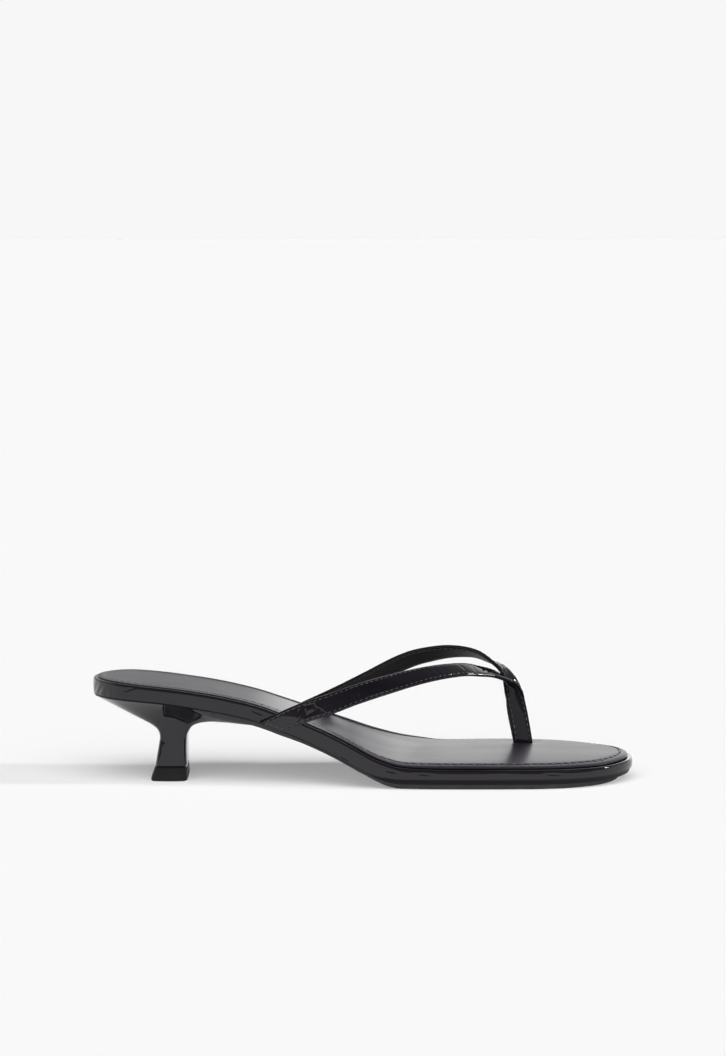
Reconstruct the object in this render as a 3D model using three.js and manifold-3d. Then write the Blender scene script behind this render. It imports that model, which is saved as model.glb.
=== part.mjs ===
// A kitten-heel thong sandal for the right foot, in millimetres.
// +X points to the toe, +Y to the inner side of the foot and +Z up. The origin lies on the floor
// under the middle of the sandal.

import * as THREE from 'three';
import { mergeVertices } from 'three/addons/utils/BufferGeometryUtils.js';
import Module from 'manifold-3d';

// Driving sizes of the last and the sole
const soleLength = 240;
const ballWidth = 78;
const seatWidth = 53;
const heelHeight = 38.2;
const toeSpring = 1.0;
const ballSkew = 10;
const bandHeight = 7.2;
const seam = 0.3;

// Edges of the wrapped band
const shoulderRound = 0.9;
const bevelDrop = 2.1;
const bevelInset = 1.3;

// Outsole
const outsoleThickness = 2.0;
const outsoleSetback = 3.0;
const outsoleToeSetback = 5.8;
const outsoleRound = 0.6;
const outsoleEndRound = 9;
const breastFromBack = 49;

// Padded insole
const insoleSetback = 2.0;
const insoleStep = 1.1;
const insoleRound = 0.8;
const insoleCrown = 2.6;
const outerFullness = 2.2;

// Heel and its top piece
const heelFromBack = 33.6;
const tipLength = 14.8;
const tipWidth = 28;
const tipHeight = 6.0;
const heelInset = 1.0;
const tongueFromBack = 83;
const neckHeight = 19.5;

// Straps and toe post
const strapWidth = 9.0;
const strapThickness = 1.5;
const instepHeight = 53;
const footWidth = 60;
const strapTuck = 0.1;
const trimReach = 5;

const halfLength = soleLength / 2;
const forefootLift = outsoleThickness + seam + bevelDrop;

// Plan of the band: half widths as shares of half the ball width, along the length from the heel
const planTable = [
  { at: 0.110, lateral: 0.718, medial: 0.641 },
  { at: 0.208, lateral: 0.718, medial: 0.628 },
  { at: 0.292, lateral: 0.705, medial: 0.628 },
  { at: 0.417, lateral: 0.782, medial: 0.718 },
  { at: 0.500, lateral: 0.897, medial: 0.808 },
  { at: 0.563, lateral: 0.962, medial: 0.885 },
  { at: 0.646, lateral: 0.997, medial: 0.974 },
  { at: 0.708, lateral: 1.000, medial: 1.000 },
  { at: 0.750, lateral: 0.998, medial: 1.000 },
  { at: 0.792, lateral: 0.987, medial: 1.000 },
];
const lateralToe = { start: 0.792, power: 2.15 };
const medialToe = { start: 0.750, power: 2.0 };

// Side view of the band: rise of its lower edge as a share of the heel height, and its own height
const sideTable = [
  { at: 0.000, rise: 1.000, height: 1.000 },
  { at: 0.054, rise: 0.993, height: 0.975 },
  { at: 0.092, rise: 0.979, height: 0.925 },
  { at: 0.129, rise: 0.956, height: 0.910 },
  { at: 0.167, rise: 0.918, height: 0.930 },
  { at: 0.203, rise: 0.874, height: 0.960 },
  { at: 0.239, rise: 0.827, height: 0.965 },
  { at: 0.275, rise: 0.772, height: 0.955 },
  { at: 0.308, rise: 0.707, height: 0.965 },
  { at: 0.348, rise: 0.603, height: 0.990 },
  { at: 0.385, rise: 0.497, height: 1.040 },
  { at: 0.422, rise: 0.377, height: 1.095 },
  { at: 0.458, rise: 0.249, height: 1.135 },
  { at: 0.476, rise: 0.182, height: 1.140 },
  { at: 0.495, rise: 0.114, height: 1.115 },
  { at: 0.513, rise: 0.061, height: 1.045 },
  { at: 0.531, rise: 0.027, height: 0.950 },
  { at: 0.549, rise: 0.009, height: 0.835 },
  { at: 0.567, rise: 0.000, height: 0.735 },
  { at: 0.604, rise: 0.000, height: 0.660 },
  { at: 0.650, rise: 0.000, height: 0.636 },
  { at: 0.820, rise: 0.000, height: 0.625 },
  { at: 0.920, rise: 0.000, height: 0.610 },
  { at: 1.000, rise: 0.000, height: 0.600 },
];

// How the pieces change along the length, each column a share of the size it is named after, and
// full is the power of the insole's crown on the inner side
const layerTable = [
  { at: 0.00, skew: 0.0, bevel: 0.10, outsole: 0.90, setback: 0.35, crown: 0.10, full: 2.4, step: 0.4, spring: 0.0 },
  { at: 0.34, skew: 0.0, bevel: 0.10, outsole: 0.90, setback: 0.35, crown: 0.15, full: 2.4, step: 0.7, spring: 0.0 },
  { at: 0.40, skew: 0.0, bevel: 0.10, outsole: 0.60, setback: 0.70, crown: 0.20, full: 2.4, step: 0.8, spring: 0.0 },
  { at: 0.45, skew: 0.2, bevel: 0.10, outsole: 0.50, setback: 0.85, crown: 0.25, full: 2.4, step: 0.9, spring: 0.0 },
  { at: 0.50, skew: 0.5, bevel: 0.15, outsole: 0.55, setback: 0.90, crown: 0.35, full: 2.4, step: 1.0, spring: 0.0 },
  { at: 0.56, skew: 1.1, bevel: 1.00, outsole: 1.00, setback: 1.00, crown: 0.60, full: 2.4, step: 1.0, spring: 0.0 },
  { at: 0.65, skew: 1.9, bevel: 1.00, outsole: 1.00, setback: 1.00, crown: 1.00, full: 3.2, step: 1.0, spring: 0.0 },
  { at: 0.72, skew: 1.8, bevel: 1.00, outsole: 1.00, setback: 1.00, crown: 1.00, full: 6.0, step: 1.0, spring: 0.0 },
  { at: 0.86, skew: 1.0, bevel: 1.00, outsole: 1.00, setback: 1.00, crown: 1.00, full: 6.0, step: 1.0, spring: 0.0 },
  { at: 0.94, skew: 0.3, bevel: 1.00, outsole: 1.00, setback: 1.10, crown: 0.80, full: 6.0, step: 1.0, spring: 0.12 },
  { at: 1.00, skew: 0.0, bevel: 1.00, outsole: 1.00, setback: 1.20, crown: 0.50, full: 6.0, step: 1.0, spring: 1.0 },
];

// Sections of the heel stem from the tip to the neck, and of the top piece from the floor up: ends
// and half width as shares of the tip's length and width
const stemTable = [
  { height: 0.00, back: 0.395, front: 0.564, half: 0.475 },
  { height: 0.30, back: 0.355, front: 0.562, half: 0.450 },
  { height: 0.60, back: 0.308, front: 0.560, half: 0.425 },
  { height: 1.00, back: 0.252, front: 0.570, half: 0.405 },
];
const tipTable = [
  { height: 0.00, back: 0.512, front: 0.568, half: 0.494 },
  { height: 0.08, back: 0.518, front: 0.574, half: 0.500 },
  { height: 1.00, back: 0.412, front: 0.566, half: 0.484 },
];

// Flare of the heel above its neck: height as a share of the way from the neck to the seat, and
// for the front the height as a share of the heel height
const flareTable = [
  { out: 0.030, back: 0.140, side: 0.230, front: 0.592 },
  { out: 0.090, back: 0.235, side: 0.360, front: 0.668 },
  { out: 0.160, back: 0.305, side: 0.460, front: 0.700 },
  { out: 0.290, back: 0.410, side: 0.590, front: 0.722 },
  { out: 0.460, back: 0.545, side: 0.720, front: 0.716 },
  { out: 0.680, back: 0.725, side: 0.850, front: 0.682 },
  { out: 0.870, back: 0.885, side: 0.945, front: 0.652 },
];

// Straps: centre line along the length, across in shares of the foot's width and up in shares of
// the instep height, with the turn of the strap's face in degrees and its width
const outerStrap = [
  { at: 0.3011, across: -0.490, up: 0.438, turn: 0, width: 0.82 },
  { at: 0.3312, across: -0.492, up: 0.502, turn: 0, width: 0.90 },
  { at: 0.3668, across: -0.492, up: 0.574, turn: 3, width: 1.00 },
  { at: 0.4033, across: -0.487, up: 0.639, turn: 9, width: 1.00 },
  { at: 0.4397, across: -0.467, up: 0.686, turn: 15, width: 1.00 },
  { at: 0.4762, across: -0.428, up: 0.744, turn: 22, width: 1.00 },
  { at: 0.5127, across: -0.373, up: 0.790, turn: 29, width: 1.00 },
  { at: 0.5495, across: -0.303, up: 0.829, turn: 36, width: 1.00 },
  { at: 0.5911, across: -0.210, up: 0.868, turn: 44, width: 1.00 },
  { at: 0.6247, across: -0.127, up: 0.889, turn: 51, width: 1.00 },
  { at: 0.6585, across: -0.037, up: 0.899, turn: 57, width: 1.00 },
  { at: 0.6926, across: 0.060, up: 0.896, turn: 64, width: 1.00 },
  { at: 0.7156, across: 0.127, up: 0.873, turn: 71, width: 0.98 },
  { at: 0.7386, across: 0.190, up: 0.848, turn: 80, width: 0.96 },
  { at: 0.7569, across: 0.237, up: 0.813, turn: 87, width: 0.94 },
  { at: 0.7701, across: 0.272, up: 0.777, turn: 97, width: 0.93 },
  { at: 0.7817, across: 0.298, up: 0.736, turn: 112, width: 0.92 },
  { at: 0.7867, across: 0.315, up: 0.678, turn: 138, width: 0.92 },
  { at: 0.7869, across: 0.321, up: 0.600, turn: 165, width: 0.96 },
  { at: 0.7897, across: 0.321, up: 0.488, turn: 180, width: 0.96 },
  { at: 0.8018, across: 0.321, up: 0.229, turn: 180, width: 0.96 },
  { at: 0.8045, across: 0.321, up: 0.143, turn: 180, width: 0.96 },
];
const innerStrap = [
  { at: 0.3275, across: 0.450, up: 0.349, turn: 0, width: 0.84 },
  { at: 0.3644, across: 0.460, up: 0.421, turn: 0, width: 0.92 },
  { at: 0.3890, across: 0.467, up: 0.469, turn: 3, width: 1.00 },
  { at: 0.4231, across: 0.487, up: 0.536, turn: 7, width: 1.00 },
  { at: 0.4572, across: 0.493, up: 0.609, turn: 11, width: 1.00 },
  { at: 0.4914, across: 0.492, up: 0.689, turn: 15, width: 1.00 },
  { at: 0.5255, across: 0.483, up: 0.773, turn: 20, width: 1.00 },
  { at: 0.5595, across: 0.472, up: 0.860, turn: 25, width: 1.00 },
  { at: 0.5935, across: 0.457, up: 0.930, turn: 30, width: 1.00 },
  { at: 0.6275, across: 0.438, up: 0.969, turn: 38, width: 1.03 },
  { at: 0.6613, across: 0.417, up: 0.996, turn: 47, width: 1.05 },
  { at: 0.6951, across: 0.388, up: 0.996, turn: 58, width: 1.05 },
  { at: 0.7176, across: 0.367, up: 0.978, turn: 68, width: 1.02 },
  { at: 0.7400, across: 0.340, up: 0.925, turn: 80, width: 0.98 },
  { at: 0.7576, across: 0.317, up: 0.882, turn: 98, width: 0.94 },
  { at: 0.7691, across: 0.303, up: 0.826, turn: 114, width: 0.93 },
  { at: 0.7766, across: 0.297, up: 0.754, turn: 138, width: 0.92 },
  { at: 0.7818, across: 0.296, up: 0.681, turn: 160, width: 0.92 },
  { at: 0.7872, across: 0.296, up: 0.595, turn: 176, width: 0.92 },
  { at: 0.7951, across: 0.296, up: 0.423, turn: 180, width: 0.92 },
  { at: 0.8021, across: 0.296, up: 0.233, turn: 180, width: 0.92 },
  { at: 0.8048, across: 0.296, up: 0.147, turn: 180, width: 0.92 },
];

// A smooth curve through one column of a table that never overshoots its rows
function smooth(table, column, key = 'at') {
  const xs = table.map((row) => row[key]);
  const ys = table.map((row) => row[column]);
  const slopes = xs.map(() => 0);
  for (let i = 1; i < xs.length - 1; i += 1) {
    const before = (ys[i] - ys[i - 1]) / (xs[i] - xs[i - 1]);
    const after = (ys[i + 1] - ys[i]) / (xs[i + 1] - xs[i]);
    if (before * after > 0) slopes[i] = (2 * before * after) / (before + after);
  }
  return (value) => {
    if (value <= xs[0]) return ys[0];
    if (value >= xs[xs.length - 1]) return ys[ys.length - 1];
    let i = 0;
    while (value > xs[i + 1]) i += 1;
    const span = xs[i + 1] - xs[i];
    const t = (value - xs[i]) / span;
    const start = ys[i] * (1 + 2 * t) * (1 - t) ** 2 + slopes[i] * span * t * (1 - t) ** 2;
    const end = ys[i + 1] * t * t * (3 - 2 * t) + slopes[i + 1] * span * t * t * (t - 1);
    return start + end;
  };
}

const share = (x) => (x + halfLength) / soleLength;
const along = (at) => at * soleLength - halfLength;
const columns = (table, names) => Object.fromEntries(names.map((name) => [name, smooth(table, name)]));
const plan = columns(planTable, ['lateral', 'medial']);
const side = columns(sideTable, ['rise', 'height']);
const layerNames = ['skew', 'bevel', 'outsole', 'setback', 'crown', 'full', 'step', 'spring'];
const layer = columns(layerTable, layerNames);

// Half width of the band at x on one side, with a round seat and an oval toe
const heelCentreY = -0.019 * ballWidth;
const seatRadius = seatWidth / 2;
function edgeY(x, medial) {
  const sign = medial ? 1 : -1;
  const toe = medial ? medialToe : lateralToe;
  const read = medial ? plan.medial : plan.lateral;
  const seatStart = -halfLength + seatRadius;
  if (x < seatStart) {
    const t = Math.min(1, (seatStart - x) / seatRadius);
    const reach = Math.abs(sign * read(share(seatStart)) * ballWidth / 2 - heelCentreY);
    return heelCentreY + sign * reach * Math.sqrt(1 - t * t);
  }
  const start = along(toe.start);
  if (x > start) {
    const t = Math.min(1, (x - start) / (halfLength - start));
    const reach = Math.abs(sign * read(toe.start) * ballWidth / 2 - heelCentreY);
    return heelCentreY + sign * reach * (1 - t ** toe.power) ** (1 / toe.power);
  }
  return sign * read(share(x)) * ballWidth / 2;
}

// Stations along the sole, closer together round the heel and the toe
const heelSteps = 6;
const middleSteps = 20;
const toeSteps = 9;
function stations(back, front) {
  const list = [];
  const toeStart = along(medialToe.start);
  const seatStart = -halfLength + seatRadius;
  for (let i = 0; i < heelSteps; i += 1) {
    list.push(back + (seatStart - back) * (1 - Math.cos((i / heelSteps) * Math.PI / 2)));
  }
  for (let i = 0; i < middleSteps; i += 1) list.push(seatStart + ((toeStart - seatStart) * i) / middleSteps);
  for (let i = 0; i <= toeSteps; i += 1) {
    list.push(toeStart + (front - toeStart) * Math.sin((i / toeSteps) * Math.PI / 2));
  }
  return list;
}

// A loop round the plan: back point, outer side, front point, inner side
function loopOf(xs, yAt) {
  const last = xs.length - 1;
  const outer = xs.slice(1, last).map((x) => new THREE.Vector2(x, yAt(x, false)));
  const inner = xs.slice(1, last).map((x) => new THREE.Vector2(x, yAt(x, true))).reverse();
  const back = new THREE.Vector2(xs[0], heelCentreY);
  const front = new THREE.Vector2(xs[last], heelCentreY);
  return [back, ...outer, front, ...inner];
}

// The loop moved inwards along its own normals, by a length or a function of x
function inset(loop, distance) {
  const by = typeof distance === 'function' ? distance : () => distance;
  return loop.map((point, i) => {
    const before = loop[(i + loop.length - 1) % loop.length];
    const after = loop[(i + 1) % loop.length];
    const run = after.clone().sub(before).normalize();
    return new THREE.Vector2(point.x - run.y * by(point.x), point.y + run.x * by(point.x));
  });
}

// Height of the band's lower edge, upper edge and the layers that follow them
function lastX(x, y) {
  const low = edgeY(x, false);
  const high = edgeY(x, true);
  const t = THREE.MathUtils.clamp((y - low) / Math.max(high - low, 1), 0, 1);
  return x - ballSkew * layer.skew(share(x)) * t;
}
function bandLow(x, y) {
  const rise = side.rise(share(lastX(x, y)));
  return forefootLift + (heelHeight - forefootLift) * rise + toeSpring * layer.spring(share(x));
}
const bandTop = (x, y) => bandLow(x, y) + bandHeight * side.height(share(lastX(x, y)));
const bevelAt = (x, y) => layer.bevel(share(lastX(x, y)));
const midsoleUnder = (x, y) => bandLow(x, y) - bevelDrop * bevelAt(x, y);
const outsoleTop = (x, y) => midsoleUnder(x, y) - seam;
const outsoleUnder = (x, y) => outsoleTop(x, y) - outsoleThickness * layer.outsole(share(lastX(x, y)));
const insoleUnder = (x, y) => bandTop(x, y) + seam;
function insoleTop(x, y) {
  const low = edgeY(x, false);
  const high = edgeY(x, true);
  const t = THREE.MathUtils.clamp((y - low) / Math.max(high - low, 1), 0, 1);
  const power = t > 0.5 ? layer.full(share(x)) : outerFullness;
  const bulge = 1 - Math.abs(2 * t - 1) ** power;
  return bandTop(x, y) + insoleStep * layer.step(share(x)) + insoleCrown * layer.crown(share(x)) * bulge;
}

const lift = (loop, heightAt) => loop.map((p) => new THREE.Vector3(p.x, p.y, heightAt(p.x, p.y)));

// A closed body from loops stacked upwards, with caps gridded across from side to side
function stackedBody(rings, capHeights, across) {
  const count = rings[0].length;
  const half = count / 2;
  const positions = [];
  const index = [];
  const add = (p) => positions.push(p.x, p.y, p.z) / 3 - 1;
  const ids = rings.map((ring) => ring.map(add));
  for (let k = 0; k < rings.length - 1; k += 1) {
    for (let i = 0; i < count; i += 1) {
      const j = (i + 1) % count;
      index.push(ids[k][i], ids[k][j], ids[k + 1][j]);
      index.push(ids[k][i], ids[k + 1][j], ids[k + 1][i]);
    }
  }
  const cap = (ring, ringIds, heightAt, up) => {
    const triangle = (a, b, c) => (up ? index.push(a, b, c) : index.push(a, c, b));
    const rows = [];
    for (let i = 1; i < half; i += 1) {
      const from = ring[i];
      const to = ring[count - i];
      const row = [ringIds[i]];
      for (let j = 1; j < across; j += 1) {
        const p = from.clone().lerp(to, j / across);
        if (heightAt) p.z = heightAt(p.x, p.y);
        row.push(add(p));
      }
      row.push(ringIds[count - i]);
      rows.push(row);
    }
    for (let j = 0; j < across; j += 1) {
      triangle(ringIds[0], rows[0][j], rows[0][j + 1]);
      triangle(rows[rows.length - 1][j], ringIds[half], rows[rows.length - 1][j + 1]);
      for (let i = 0; i < rows.length - 1; i += 1) {
        triangle(rows[i][j], rows[i + 1][j], rows[i + 1][j + 1]);
        triangle(rows[i][j], rows[i + 1][j + 1], rows[i][j + 1]);
      }
    }
  };
  cap(rings[0], ids[0], capHeights.bottom, false);
  cap(rings[rings.length - 1], ids[rings.length - 1], capHeights.top, true);
  const geometry = new THREE.BufferGeometry();
  geometry.setAttribute('position', new THREE.Float32BufferAttribute(positions, 3));
  geometry.setIndex(index);
  return geometry;
}

// Joining and cutting of closed bodies
const wasm = await Module();
wasm.setup();
function solid(geometry) {
  const bare = geometry.clone();
  bare.deleteAttribute('normal');
  bare.deleteAttribute('uv');
  const merged = mergeVertices(bare, 1e-5);
  return new wasm.Manifold(new wasm.Mesh({
    numProp: 3,
    vertProperties: new Float32Array(merged.attributes.position.array),
    triVerts: new Uint32Array(merged.index.array),
  }));
}
function geometryOf(body) {
  const mesh = body.getMesh();
  const geometry = new THREE.BufferGeometry();
  geometry.setAttribute('position', new THREE.Float32BufferAttribute(mesh.vertProperties, 3));
  geometry.setIndex(Array.from(mesh.triVerts));
  return geometry;
}

// Midsole board wrapped in patent leather
const bandLoop = loopOf(stations(-halfLength, halfLength), edgeY);
function midsoleBody(grow) {
  const level = (distance, heightAt) => lift(inset(bandLoop, distance), heightAt);
  const bevelled = (x) => bevelInset * layer.bevel(share(x)) - grow;
  return stackedBody([
    level(bevelled, (x, y) => midsoleUnder(x, y) - grow),
    level(0.25 - grow, (x, y) => bandLow(x, y) + 0.1),
    level(-grow, (x, y) => bandLow(x, y) + 0.7),
    level(-grow, (x, y) => bandTop(x, y) - shoulderRound),
    level(0.3 * shoulderRound - grow, (x, y) => bandTop(x, y) - 0.3 * shoulderRound + grow),
    level(shoulderRound - grow, (x, y) => bandTop(x, y) + grow),
  ], { bottom: (x, y) => midsoleUnder(x, y) - grow, top: (x, y) => bandTop(x, y) + grow }, 6);
}

// Padded insole
function insoleBody(grow) {
  const level = (distance, heightAt) => lift(inset(bandLoop, distance - grow), heightAt);
  const edge = (x, y) => bandTop(x, y) + insoleStep * layer.step(share(x));
  return stackedBody([
    level(insoleSetback, (x, y) => insoleUnder(x, y) - grow),
    level(insoleSetback, (x, y) => edge(x, y) - 0.4 * insoleRound),
    level(insoleSetback + 0.4 * insoleRound, (x, y) => edge(x, y) + grow),
    level(insoleSetback + 2.2 * insoleRound, (x, y) => insoleTop(x, y) + grow),
  ], { bottom: (x, y) => insoleUnder(x, y) - grow, top: (x, y) => insoleTop(x, y) + grow }, 10);
}

// Outsole, from the heel breast to the toe
const outsoleFront = halfLength - outsoleToeSetback;
const outsoleBack = -halfLength + breastFromBack;
function outsoleEdge(x, medial) {
  const sign = medial ? 1 : -1;
  const toe = medial ? medialToe : lateralToe;
  const start = along(toe.start);
  const setback = outsoleSetback * layer.setback(share(x));
  let reach = Math.abs(edgeY(Math.min(x, start), medial) - heelCentreY) - setback;
  if (x > start) {
    const t = Math.min(1, (x - start) / (outsoleFront - start));
    reach *= (1 - t ** toe.power) ** (1 / toe.power);
  }
  const fromBack = Math.min(1, (x - outsoleBack) / outsoleEndRound);
  reach *= (1 - (1 - fromBack) ** 3) ** (1 / 3);
  return heelCentreY + sign * reach;
}
function outsoleStations() {
  const list = [0, 0.05, 0.2, 0.5].map((t) => outsoleBack + outsoleEndRound * t);
  const toeStart = along(medialToe.start);
  const from = outsoleBack + outsoleEndRound;
  for (let i = 0; i < middleSteps; i += 1) list.push(from + ((toeStart - from) * i) / middleSteps);
  for (let i = 0; i <= toeSteps; i += 1) {
    list.push(toeStart + (outsoleFront - toeStart) * Math.sin((i / toeSteps) * Math.PI / 2));
  }
  return list;
}
const outsoleLoop = loopOf(outsoleStations(), outsoleEdge);
const outsoleGeometry = stackedBody([
  lift(inset(outsoleLoop, outsoleRound), outsoleUnder),
  lift(outsoleLoop, (x, y) => outsoleUnder(x, y) + outsoleRound),
  lift(outsoleLoop, (x, y) => outsoleTop(x, y)),
], { bottom: outsoleUnder, top: outsoleTop }, 6);

// Heel: stem sections up to the neck, then a flare out to the seat with a tongue to the front
const heelX = -halfLength + heelFromBack;
const tongueX = -halfLength + tongueFromBack;
const halfTurnSteps = 18;
const cornerPower = 0.24;
const sideBow = 0.06;
const sections = (table) => Object.fromEntries(
  ['back', 'front', 'half'].map((name) => [name, smooth(table, name, 'height')]),
);
const stem = sections(stemTable);
const tip = sections(tipTable);
function blockRing(section, at, z) {
  const back = tipLength * section.back(at);
  const front = tipLength * section.front(at);
  const half = tipWidth * section.half(at);
  const ring = [];
  for (let i = 0; i < 2 * halfTurnSteps; i += 1) {
    const angle = (i / halfTurnSteps) * Math.PI;
    const c = Math.cos(angle);
    const s = Math.sin(angle);
    const reach = -Math.sign(c) * Math.abs(c) ** cornerPower;
    const bowed = half * (1 - sideBow * reach * reach);
    const x = heelX + reach * (c > 0 ? back : front);
    ring.push(new THREE.Vector3(x, heelCentreY - Math.sign(s) * bowed * Math.abs(s) ** cornerPower, z));
  }
  return ring;
}
const stemRing = (z) => blockRing(stem, (z - tipHeight) / (neckHeight - tipHeight), z);
function seatHeight(x, y) {
  const step = THREE.MathUtils.smoothstep(x, outsoleBack - 1.6, outsoleBack - 0.4);
  const under = outsoleThickness * layer.outsole(share(lastX(x, y))) + seam;
  return midsoleUnder(x, y) - seam - under * step;
}
function tongueEdge(x, medial) {
  const sign = medial ? 1 : -1;
  const start = outsoleBack - 6;
  const reach = Math.abs(edgeY(Math.min(x, start), medial) - heelCentreY) - heelInset;
  if (x <= start) return heelCentreY + sign * reach;
  const t = Math.min(1, (x - start) / (tongueX - start));
  return heelCentreY + sign * reach * (1 - t ** 2.3) ** (1 / 2.3);
}
function seatRing() {
  const ring = [];
  for (let i = 0; i < 2 * halfTurnSteps; i += 1) {
    const c = Math.cos((i / halfTurnSteps) * Math.PI);
    const medial = i > halfTurnSteps;
    const reach = c > 0 ? heelX - (-halfLength + heelInset) : tongueX - heelX;
    const x = heelX - c * reach;
    const end = i === 0 || i === halfTurnSteps;
    const y = end ? heelCentreY : tongueEdge(Math.max(x, -halfLength + heelInset), medial);
    ring.push(new THREE.Vector3(x, y, seatHeight(x, y)));
  }
  return ring;
}
function heelBody() {
  const neck = stemRing(neckHeight);
  const seat = seatRing();
  const rings = [0, 0.3, 0.7].map((t) => stemRing(tipHeight + t * (neckHeight - tipHeight)));
  rings.push(neck);
  for (const row of flareTable) {
    rings.push(neck.map((from, i) => {
      const to = seat[i];
      const c = Math.cos((i / halfTurnSteps) * Math.PI);
      const sideZ = from.z + (to.z - from.z) * row.side;
      const endZ = c > 0 ? from.z + (to.z - from.z) * row.back : heelHeight * row.front;
      const p = from.clone().lerp(to, row.out);
      p.z = THREE.MathUtils.lerp(sideZ, endZ, c * c);
      return p;
    }));
  }
  rings.push(seat);
  return stackedBody(rings, { bottom: () => tipHeight, top: seatHeight }, 8);
}

// Top piece under the heel
function tipBody() {
  const top = tipHeight - seam;
  const rings = tipTable.map((row) => blockRing(tip, row.height, top * row.height));
  return stackedBody(rings, { bottom: () => 0, top: () => top }, 6);
}

// A strap: a flat section with eased edges carried along its centre line
const strapSteps = 3;
const sectionSides = [[-0.5, -0.25], [-0.45, -0.5], [0.45, -0.5], [0.5, -0.25], [0.5, 0.25], [0.45, 0.5],
  [-0.45, 0.5], [-0.5, 0.25]];
function strapBody(table, outward) {
  const points = table.map((row) => new THREE.Vector3(along(row.at), footWidth * row.across,
    instepHeight * row.up));
  const curve = new THREE.CatmullRomCurve3(points, false, 'centripetal');
  const steps = (table.length - 1) * strapSteps;
  const rows = table.map((row, i) => ({ ...row, step: i / (table.length - 1) }));
  const turn = smooth(rows, 'turn', 'step');
  const width = smooth(rows, 'width', 'step');
  const positions = [];
  const index = [];
  const n = sectionSides.length;
  const across = new THREE.Vector3(0, 1, 0);
  for (let k = 0; k <= steps; k += 1) {
    const t = k / steps;
    const centre = curve.getPoint(t);
    const tangent = curve.getTangent(t);
    const sideways = across.clone().addScaledVector(tangent, -tangent.y).normalize();
    const upward = tangent.clone().cross(sideways);
    const angle = THREE.MathUtils.degToRad(turn(t));
    const face = sideways.clone().multiplyScalar(outward * Math.cos(angle))
      .addScaledVector(upward, Math.sin(angle));
    const inner = upward.clone().multiplyScalar(Math.cos(angle))
      .addScaledVector(sideways, -outward * Math.sin(angle));
    for (const [a, b] of sectionSides) {
      const p = centre.clone().addScaledVector(inner, a * strapWidth * width(t))
        .addScaledVector(face, b * strapThickness);
      positions.push(p.x, p.y, p.z);
    }
  }
  const turned = (a, b, c) => (outward < 0 ? index.push(a, b, c) : index.push(a, c, b));
  for (let k = 0; k < steps; k += 1) {
    for (let i = 0; i < n; i += 1) {
      const j = (i + 1) % n;
      turned(k * n + i, k * n + j, (k + 1) * n + j);
      turned(k * n + i, (k + 1) * n + j, (k + 1) * n + i);
    }
  }
  for (let i = 1; i < n - 1; i += 1) {
    turned(0, i + 1, i);
    turned(steps * n, steps * n + i, steps * n + i + 1);
  }
  const geometry = new THREE.BufferGeometry();
  geometry.setAttribute('position', new THREE.Float32BufferAttribute(positions, 3));
  geometry.setIndex(index);
  return geometry;
}

// Slot for the toe post, along the post's own lean
function postSlot(clearance) {
  const top = outerStrap[outerStrap.length - 2];
  const end = outerStrap[outerStrap.length - 1];
  const partner = innerStrap[innerStrap.length - 1];
  const lean = Math.atan2(along(end.at) - along(top.at), instepHeight * (top.up - end.up));
  const y = footWidth * (end.across + partner.across) / 2;
  const thick = footWidth * (end.across - partner.across) + strapThickness;
  const box = new THREE.BoxGeometry(strapWidth * end.width + 2 * clearance, thick + 2 * clearance, 24);
  box.translate(0, 0, 12);
  box.rotateY(-lean);
  box.translate(along((end.at + partner.at) / 2), y, instepHeight * end.up - clearance);
  return box;
}

const strapEnds = new THREE.BoxGeometry(0.5 * soleLength, 2 * ballWidth, 2 * instepHeight);
strapEnds.translate(-0.2 * soleLength, 0, instepHeight);
const underBand = stackedBody([
  lift(inset(bandLoop, -trimReach), (x, y) => bandLow(x, y) - 4 * bandHeight),
  lift(inset(bandLoop, -trimReach), (x, y) => bandLow(x, y) + strapTuck),
], { bottom: (x, y) => bandLow(x, y) - 4 * bandHeight, top: (x, y) => bandLow(x, y) + strapTuck }, 6);
const nearSole = solid(midsoleBody(seam)).add(solid(insoleBody(seam))).add(solid(underBand))
  .intersect(solid(strapEnds));
const straps = solid(strapBody(outerStrap, -1)).add(solid(strapBody(innerStrap, 1)));
const upperGeometry = geometryOf(straps.subtract(nearSole));
const slot = solid(postSlot(seam));

const patent = new THREE.MeshStandardMaterial({ color: 0x0d0d0f, roughness: 0.08, metalness: 0 });
const strapPatent = new THREE.MeshStandardMaterial({ color: 0x0b0b0c, roughness: 0.14, metalness: 0 });
const satin = new THREE.MeshStandardMaterial({ color: 0x1c1b1c, roughness: 0.42, metalness: 0 });
const rubber = new THREE.MeshStandardMaterial({ color: 0x1b1b19, roughness: 0.7, metalness: 0 });

const sandal = new THREE.Group();
function place(name, geometry, material) {
  const mesh = new THREE.Mesh(geometry, material);
  mesh.name = name;
  sandal.add(mesh);
}
place('outsole', outsoleGeometry, rubber);
place('midsole', geometryOf(solid(midsoleBody(0)).subtract(slot)), patent);
place('insole', geometryOf(solid(insoleBody(0)).subtract(slot)), satin);
place('heel', heelBody(), patent);
place('heel_tip', tipBody(), rubber);
place('upper', upperGeometry, strapPatent);

export default sandal;
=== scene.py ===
# %% [markdown]
# # A kitten-heel thong sandal
# The sandal is black: a band of patent leather wrapped round a thin sole board, a padded satin
# insole, a small covered heel and two narrow patent straps that cross in front and go down
# between the toes as one post. This lesson dresses the measured solids of the sandal piece by
# piece. It is the right shoe, seen from its outer side, with the toe pointing to +X.

# %% Load the frame
import math

import bmesh
import bpy
import numpy as np
from mathutils import Matrix, Vector


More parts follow.
